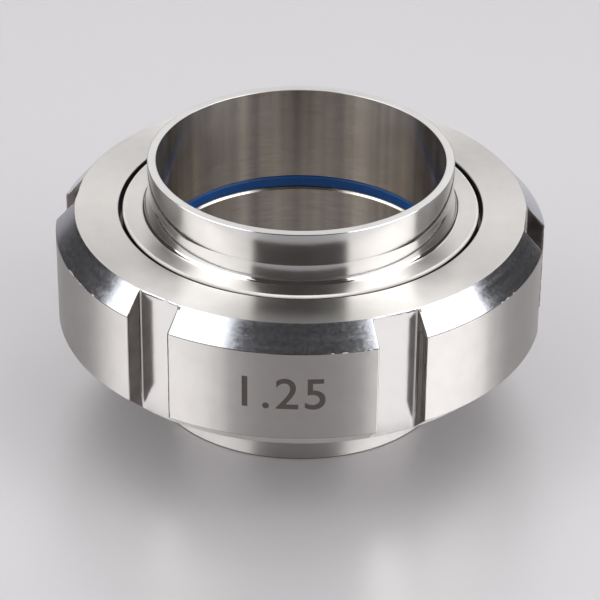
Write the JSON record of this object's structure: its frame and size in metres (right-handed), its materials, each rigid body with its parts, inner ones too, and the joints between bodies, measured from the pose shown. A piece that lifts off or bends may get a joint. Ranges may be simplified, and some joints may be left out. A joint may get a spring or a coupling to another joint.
{
  "type": "sanitary union",
  "caption": "Tube union: a slotted ring nut clamps a weld liner and its seal ring onto a threaded weld part, round a clear straight bore.",
  "frame": {"origin": "on the tube's axis, at the foot of the male part's weld end", "axes": "+Z along the tube's axis, from the male part towards the liner; -Y towards the viewer of the picture"},
  "size_m": [0.0512, 0.0512, 0.0268],
  "materials": {
    "polished_steel": "fine turned and polished stainless steel, close to a mirror outside and brushed in the bore",
    "turned_steel": "fine turned stainless steel with milled slots",
    "blue_rubber": "satin dark blue rubber"
  },
  "bodies": {
    "male_part": {"male_part": "polished_steel", "seal_ring": "blue_rubber"},
    "liner": {"liner": "polished_steel"},
    "nut": {"slotted_nut": "turned_steel"}
  },
  "joints": [
    {"name": "liner_lift", "type": "slide", "parent": "male_part", "child": "liner", "axis": [0, 0, 1], "range_m": [0, 0.00794]},
    {"name": "nut_turn", "type": "hinge", "parent": "liner", "child": "nut", "pos_m": [0, 0, 0.0147], "axis": [0, 0, 1], "range_deg": [0, 900]}
  ],
  "couplings": [
    {"joint": "liner_lift", "follows": "nut_turn", "m_per_rad": 0.00050532}
  ]
}
